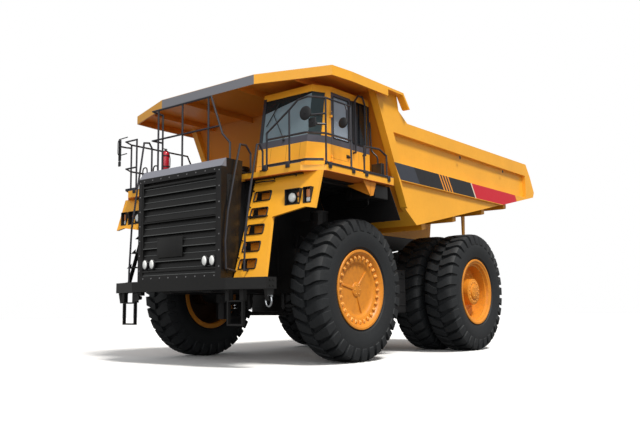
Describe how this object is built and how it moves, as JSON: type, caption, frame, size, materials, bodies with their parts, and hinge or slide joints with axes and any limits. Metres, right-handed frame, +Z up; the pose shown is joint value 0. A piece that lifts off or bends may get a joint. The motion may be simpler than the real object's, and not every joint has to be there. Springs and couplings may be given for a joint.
{
  "type": "mining dump truck",
  "caption": "Rigid two-axle mining dump truck in orange-yellow with a tipping rock body over its cab, a black louvred radiator front, deck handrails and lugged tyres.",
  "frame": {"origin": "on the ground, under the middle of the truck's overall length and width", "axes": "+X the truck's left side, -Y forward, +Z up"},
  "size_m": [5.5021, 10.4, 5.25],
  "materials": {
    "body_yellow": "satin orange-yellow paint",
    "rim_yellow": "satin orange paint",
    "black_paint": "satin black paint",
    "rail_paint": "dark grey paint on tube",
    "red_paint": "gloss red paint",
    "cast_iron": "dark cast surface",
    "rod_chrome": "polished cylinder rod",
    "tyre_rubber": "matt black rubber",
    "cab_glass": "tinted safety glass",
    "lamp_lens": "clear ribbed lens",
    "black_plastic": "grained black plastic",
    "seat_fabric": "woven dark grey cloth"
  },
  "bodies": {
    "chassis": {"main_frame": "black_paint", "front_bumper": "black_paint", "radiator_housing": "black_paint", "radiator_grille": "black_paint", "engine_hood": "black_paint", "engine_block": "cast_iron", "transmission": "black_paint", "drive_shaft": "black_paint", "suspension_struts": "black_paint", "rear_axle_housing": "black_paint", "deck_platform": "body_yellow", "left_fender": "body_yellow", "right_fender": "body_yellow", "fuel_tank": "black_paint", "hydraulic_tank": "black_paint", "cab_body": "body_yellow", "cab_frame": "body_yellow", "cab_glass": "cab_glass", "operator_seat": "seat_fabric", "dash_panel": "black_plastic", "steering_wheel": "black_plastic", "boarding_steps": "black_paint", "deck_handrails": "rail_paint", "ladder_handrails": "rail_paint", "hood_guard_rail": "rail_paint", "cab_grab_loop": "rail_paint", "lamps": "lamp_lens", "mirrors": "black_plastic", "fire_extinguisher": "red_paint"},
    "left_knuckle": {"left_knuckle": "black_paint"},
    "right_knuckle": {"right_knuckle": "black_paint"},
    "front_left_wheel": {"front_left_tyre": "tyre_rubber", "front_left_rim": "rim_yellow"},
    "front_right_wheel": {"front_right_tyre": "tyre_rubber", "front_right_rim": "rim_yellow"},
    "rear_left_wheels": {"rear_left_tyres": "tyre_rubber", "rear_left_rims": "rim_yellow"},
    "rear_right_wheels": {"rear_right_tyres": "tyre_rubber", "rear_right_rims": "rim_yellow"},
    "tie_rod": {"tie_rod": "black_paint"},
    "left_steering_barrel": {"left_steering_barrel": "black_paint"},
    "left_steering_rod": {"left_steering_rod": "rod_chrome"},
    "right_steering_barrel": {"right_steering_barrel": "black_paint"},
    "right_steering_rod": {"right_steering_rod": "rod_chrome"},
    "bed": {"bed_floor": "body_yellow", "bed_sides": "body_yellow", "bed_front_wall": "body_yellow", "bed_canopy": "body_yellow", "bed_beams": "body_yellow", "bed_bolsters": "body_yellow", "hoist_head_ears": "body_yellow"},
    "left_hoist_barrel": {"left_hoist_barrel": "black_paint"},
    "left_hoist_stage": {"left_hoist_stage": "rod_chrome"},
    "left_hoist_rod": {"left_hoist_rod": "rod_chrome"},
    "right_hoist_barrel": {"right_hoist_barrel": "black_paint"},
    "right_hoist_stage": {"right_hoist_stage": "rod_chrome"},
    "right_hoist_rod": {"right_hoist_rod": "rod_chrome"},
    "cab_door": {"cab_door": "body_yellow", "cab_door_glass": "cab_glass"}
  },
  "joints": [
    {"name": "steer_left", "type": "hinge", "parent": "chassis", "child": "left_knuckle", "pos_m": [1.33, -2.7, 1.34], "axis": [0, 0, 1], "range_deg": [-32, 32]},
    {"name": "steer_right", "type": "hinge", "parent": "chassis", "child": "right_knuckle", "pos_m": [-1.33, -2.7, 1.34], "axis": [0, 0, 1], "range_deg": [-32.5, 32.5]},
    {"name": "tie_rod_pivot", "type": "hinge", "parent": "left_knuckle", "child": "tie_rod", "pos_m": [1.33, -2.18, 0.9], "axis": [0, 0, 1], "range_deg": [-32.5, 32.5]},
    {"name": "left_steering_barrel_pivot", "type": "hinge", "parent": "chassis", "child": "left_steering_barrel", "pos_m": [0.47, -2.79, 1.055], "axis": [0, 0, 1], "range_deg": [-5.46, 5.46]},
    {"name": "left_steering_rod_slide", "type": "slide", "parent": "left_steering_barrel", "child": "left_steering_rod", "axis": [0.8944, 0.4472, 0], "range_m": [-0.1762, 0.1762]},
    {"name": "right_steering_barrel_pivot", "type": "hinge", "parent": "chassis", "child": "right_steering_barrel", "pos_m": [-0.47, -2.79, 1.055], "axis": [0, 0, 1], "range_deg": [-5.46, 5.46]},
    {"name": "right_steering_rod_slide", "type": "slide", "parent": "right_steering_barrel", "child": "right_steering_rod", "axis": [-0.8944, 0.4472, 0], "range_m": [-0.1762, 0.1762]},
    {"name": "front_left_wheel_spin", "type": "hinge", "parent": "left_knuckle", "child": "front_left_wheel", "pos_m": [2.01, -2.7, 1.34], "axis": [1, 0, 0], "continuous": true},
    {"name": "rear_left_wheel_spin", "type": "hinge", "parent": "chassis", "child": "rear_left_wheels", "pos_m": [1.805, 1.65, 1.34], "axis": [1, 0, 0], "continuous": true},
    {"name": "front_right_wheel_spin", "type": "hinge", "parent": "right_knuckle", "child": "front_right_wheel", "pos_m": [-2.01, -2.7, 1.34], "axis": [1, 0, 0], "continuous": true},
    {"name": "rear_right_wheel_spin", "type": "hinge", "parent": "chassis", "child": "rear_right_wheels", "pos_m": [-1.805, 1.65, 1.34], "axis": [1, 0, 0], "continuous": true},
    {"name": "bed_tilt", "type": "hinge", "parent": "chassis", "child": "bed", "pos_m": [0, 2.55, 2.42], "axis": [-1, 0, 0], "range_deg": [0, 48]},
    {"name": "left_hoist_barrel_pivot", "type": "hinge", "parent": "chassis", "child": "left_hoist_barrel", "pos_m": [0.83, 0.3, 1.25], "axis": [-1, 0, 0], "range_deg": [0, 25.67]},
    {"name": "left_hoist_stage_slide", "type": "slide", "parent": "left_hoist_barrel", "child": "left_hoist_stage", "axis": [0, -0.2047, 0.9788], "range_m": [0, 0.9536]},
    {"name": "left_hoist_rod_slide", "type": "slide", "parent": "left_hoist_stage", "child": "left_hoist_rod", "axis": [0, -0.2047, 0.9788], "range_m": [0, 0.9536]},
    {"name": "right_hoist_barrel_pivot", "type": "hinge", "parent": "chassis", "child": "right_hoist_barrel", "pos_m": [-0.83, 0.3, 1.25], "axis": [-1, 0, 0], "range_deg": [0, 25.67]},
    {"name": "right_hoist_stage_slide", "type": "slide", "parent": "right_hoist_barrel", "child": "right_hoist_stage", "axis": [0, -0.2047, 0.9788], "range_m": [0, 0.9536]},
    {"name": "right_hoist_rod_slide", "type": "slide", "parent": "right_hoist_stage", "child": "right_hoist_rod", "axis": [0, -0.2047, 0.9788], "range_m": [0, 0.9536]},
    {"name": "cab_door_hinge", "type": "hinge", "parent": "chassis", "child": "cab_door", "pos_m": [2.353, -3.6, 4.2], "axis": [0, 0, -1], "range_deg": [0, 55]}
  ],
  "couplings": [
    {"joint": "steer_right", "follows": "steer_left", "ratio": 1},
    {"joint": "tie_rod_pivot", "follows": "steer_left", "ratio": -1},
    {"joint": "left_steering_barrel_pivot", "follows": "steer_left", "ratio": 0.155},
    {"joint": "left_steering_rod_slide", "follows": "steer_left", "m_per_rad": -0.2975},
    {"joint": "right_steering_barrel_pivot", "follows": "steer_left", "ratio": 0.155},
    {"joint": "right_steering_rod_slide", "follows": "steer_left", "m_per_rad": 0.2975},
    {"joint": "left_hoist_barrel_pivot", "follows": "bed_tilt", "ratio": 0.514},
    {"joint": "left_hoist_stage_slide", "follows": "bed_tilt", "m_per_rad": 1.1323},
    {"joint": "left_hoist_rod_slide", "follows": "bed_tilt", "m_per_rad": 1.1323},
    {"joint": "right_hoist_barrel_pivot", "follows": "bed_tilt", "ratio": 0.514},
    {"joint": "right_hoist_stage_slide", "follows": "bed_tilt", "m_per_rad": 1.1323},
    {"joint": "right_hoist_rod_slide", "follows": "bed_tilt", "m_per_rad": 1.1323}
  ]
}
